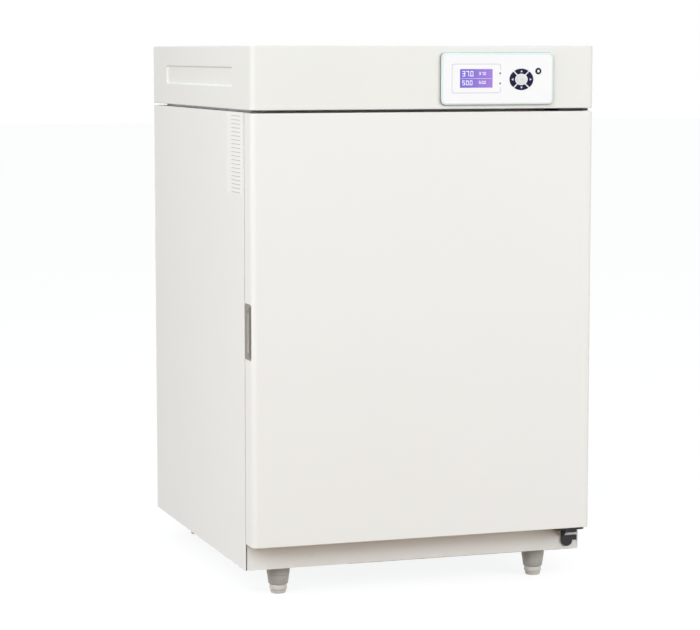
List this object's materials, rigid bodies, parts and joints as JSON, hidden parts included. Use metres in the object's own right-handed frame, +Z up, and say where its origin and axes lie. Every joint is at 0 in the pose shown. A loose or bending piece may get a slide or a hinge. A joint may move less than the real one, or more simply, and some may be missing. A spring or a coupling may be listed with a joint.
{
  "type": "carbon dioxide incubator",
  "caption": "Bench incubator cabinet with insulated outer door, inner glass door, slotted shelves, water pan, rear fan duct, gas line and a control head on top.",
  "frame": {"origin": "middle of the bounding box at floor level", "axes": "+X to the right seen from the front, +Y to the back, +Z up"},
  "size_m": [0.59, 0.67, 0.9],
  "materials": {
    "paint": "satin",
    "black_paint": "satin",
    "zinc": "satin",
    "stainless": "brushed",
    "chrome": "polished",
    "aluminium": "satin",
    "brass": "satin",
    "foam": "matte",
    "heater": "matte",
    "silicone": "satin",
    "grey_rubber": "satin",
    "foot_rubber": "satin",
    "grey_plastic": "satin",
    "black_plastic": "satin",
    "clear_plastic": "gloss",
    "panel_plastic": "satin",
    "overlay": "satin",
    "screen": "gloss",
    "lamp": "gloss",
    "key": "satin",
    "key_white": "satin",
    "board": "satin",
    "glass": "gloss"
  },
  "bodies": {
    "cabinet": {"side_panel_left": "paint", "side_panel_right": "paint", "rear_panel": "paint", "base_pan": "zinc", "top_deck": "paint", "front_frame": "paint", "kick_panel": "paint", "cabinet_insulation": "foam", "chamber_liner": "stainless", "heating_mats": "heater", "glass_gasket": "silicone", "glass_hinge_posts": "stainless", "shelf_rack": "stainless", "duct_panel": "stainless", "fan_motor": "black_paint", "chamber_probes": "stainless", "gas_inlet": "brass", "gas_filter": "clear_plastic", "solenoid_valve": "brass", "gas_hose": "silicone", "port_sleeve": "grey_plastic", "lower_hinge": "black_paint", "upper_hinge": "black_paint", "leg_cups": "grey_plastic", "head_cover": "paint", "head_deck": "zinc", "head_rear": "paint", "head_electronics": "board", "panel_bezel": "panel_plastic", "panel_overlay": "overlay", "display": "screen", "status_lamps": "lamp", "power_entry": "black_plastic"},
    "outer_door": {"door_skin": "paint", "door_liner": "stainless", "door_insulation": "foam", "door_gasket": "grey_rubber", "handle_cup": "grey_plastic", "door_bushes": "black_plastic"},
    "glass_door": {"glass_pane": "glass", "glass_fittings": "chrome"},
    "latch": {"glass_latch": "chrome"},
    "fan": {"fan_wheel": "aluminium", "fan_shaft": "stainless"},
    "up_key": {"key_up": "key"},
    "down_key": {"key_down": "key"},
    "left_key": {"key_left": "key"},
    "right_key": {"key_right": "key"},
    "centre_key": {"key_centre": "key_white"},
    "round_key": {"key_round": "key"},
    "power_rocker": {"rocker": "black_plastic"},
    "stopper": {"port_stopper": "silicone"},
    "lower_shelf": {"shelf_1": "stainless"},
    "middle_shelf": {"shelf_2": "stainless"},
    "upper_shelf": {"shelf_3": "stainless"},
    "pan": {"water_pan": "stainless"},
    "front_left_foot": {"foot_1": "foot_rubber"},
    "back_left_foot": {"foot_2": "foot_rubber"},
    "front_right_foot": {"foot_3": "foot_rubber"},
    "back_right_foot": {"foot_4": "foot_rubber"}
  },
  "joints": [
    {"name": "outer_door_hinge", "type": "hinge", "parent": "cabinet", "child": "outer_door", "pos_m": [0.279, -0.312, 0.093], "axis": [0, 0, 1], "range_deg": [0, 110]},
    {"name": "glass_door_hinge", "type": "hinge", "parent": "cabinet", "child": "glass_door", "pos_m": [0.2315, -0.29, 0.158], "axis": [0, 0, 1], "range_deg": [0, 95]},
    {"name": "glass_latch_turn", "type": "hinge", "parent": "cabinet", "child": "latch", "pos_m": [-0.243, -0.283, 0.433], "axis": [0, -1, 0], "range_deg": [0, 90]},
    {"name": "fan_spin", "type": "hinge", "parent": "cabinet", "child": "fan", "pos_m": [0, 0.1241, 0.433], "axis": [0, 1, 0], "continuous": true},
    {"name": "up_key_press", "type": "slide", "parent": "cabinet", "child": "up_key", "axis": [0, 1, 0], "range_m": [0, 0.0006], "stiffness_N_per_m": 1500},
    {"name": "down_key_press", "type": "slide", "parent": "cabinet", "child": "down_key", "axis": [0, 1, 0], "range_m": [0, 0.0006], "stiffness_N_per_m": 1500},
    {"name": "left_key_press", "type": "slide", "parent": "cabinet", "child": "left_key", "axis": [0, 1, 0], "range_m": [0, 0.0006], "stiffness_N_per_m": 1500},
    {"name": "right_key_press", "type": "slide", "parent": "cabinet", "child": "right_key", "axis": [0, 1, 0], "range_m": [0, 0.0006], "stiffness_N_per_m": 1500},
    {"name": "centre_key_press", "type": "slide", "parent": "cabinet", "child": "centre_key", "axis": [0, 1, 0], "range_m": [0, 0.0006], "stiffness_N_per_m": 1500},
    {"name": "round_key_press", "type": "slide", "parent": "cabinet", "child": "round_key", "axis": [0, 1, 0], "range_m": [0, 0.0006], "stiffness_N_per_m": 1500},
    {"name": "power_rocker_tilt", "type": "hinge", "parent": "cabinet", "child": "power_rocker", "pos_m": [0.19, 0.3105, 0.86575], "axis": [-1, 0, 0], "range_deg": [0, 16]},
    {"name": "port_stopper_pull", "type": "slide", "parent": "cabinet", "child": "stopper", "axis": [0, 1, 0], "range_m": [0, 0.04]},
    {"name": "lower_shelf_slide", "type": "slide", "parent": "cabinet", "child": "lower_shelf", "axis": [0, -1, 0], "range_m": [0, 0.015]},
    {"name": "middle_shelf_slide", "type": "slide", "parent": "cabinet", "child": "middle_shelf", "axis": [0, -1, 0], "range_m": [0, 0.015]},
    {"name": "upper_shelf_slide", "type": "slide", "parent": "cabinet", "child": "upper_shelf", "axis": [0, -1, 0], "range_m": [0, 0.015]},
    {"name": "pan_slide", "type": "slide", "parent": "cabinet", "child": "pan", "axis": [0, -1, 0], "range_m": [0, 0.015]},
    {"name": "front_left_foot_level", "type": "slide", "parent": "cabinet", "child": "front_left_foot", "axis": [0, 0, -1], "range_m": [0, 0.01]},
    {"name": "back_left_foot_level", "type": "slide", "parent": "cabinet", "child": "back_left_foot", "axis": [0, 0, -1], "range_m": [0, 0.01]},
    {"name": "front_right_foot_level", "type": "slide", "parent": "cabinet", "child": "front_right_foot", "axis": [0, 0, -1], "range_m": [0, 0.01]},
    {"name": "back_right_foot_level", "type": "slide", "parent": "cabinet", "child": "back_right_foot", "axis": [0, 0, -1], "range_m": [0, 0.01]}
  ],
  "couplings": [
    {"joint": "glass_door_hinge", "follows": "outer_door_hinge", "ratio": 0.85}
  ]
}
